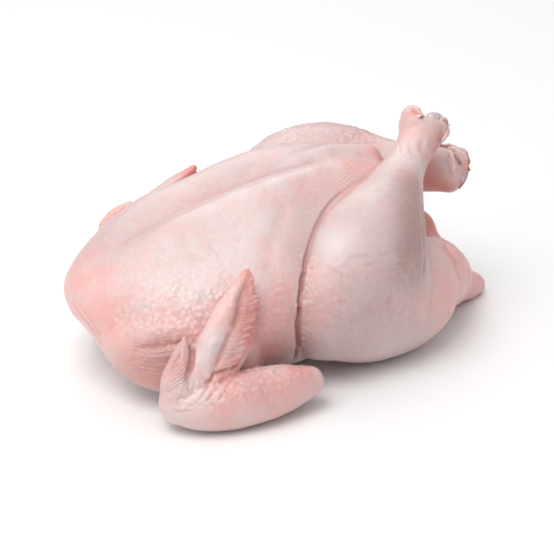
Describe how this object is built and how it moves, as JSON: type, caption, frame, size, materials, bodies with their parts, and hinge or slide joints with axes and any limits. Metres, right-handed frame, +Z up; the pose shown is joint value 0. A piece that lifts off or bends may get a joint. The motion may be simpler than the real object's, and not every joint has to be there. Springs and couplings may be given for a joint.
{
  "type": "whole raw chicken",
  "caption": "Whole raw chicken, plucked and drawn, lying on its back with the shanks crossed above the vent and the wings folded at its sides.",
  "frame": {"origin": "on the resting surface, in the middle of the bird's width and near the middle of its length, on the flat spot under its back", "axes": "+X from the neck end towards the tail, +Y towards the bird's left side, +Z up, from the back to the breast"},
  "size_m": [0.2543, 0.204, 0.1238],
  "materials": {
    "skin": "moist raw skin, soft satin"
  },
  "bodies": {
    "root": {"chicken": "skin"}
  },
  "joints": []
}
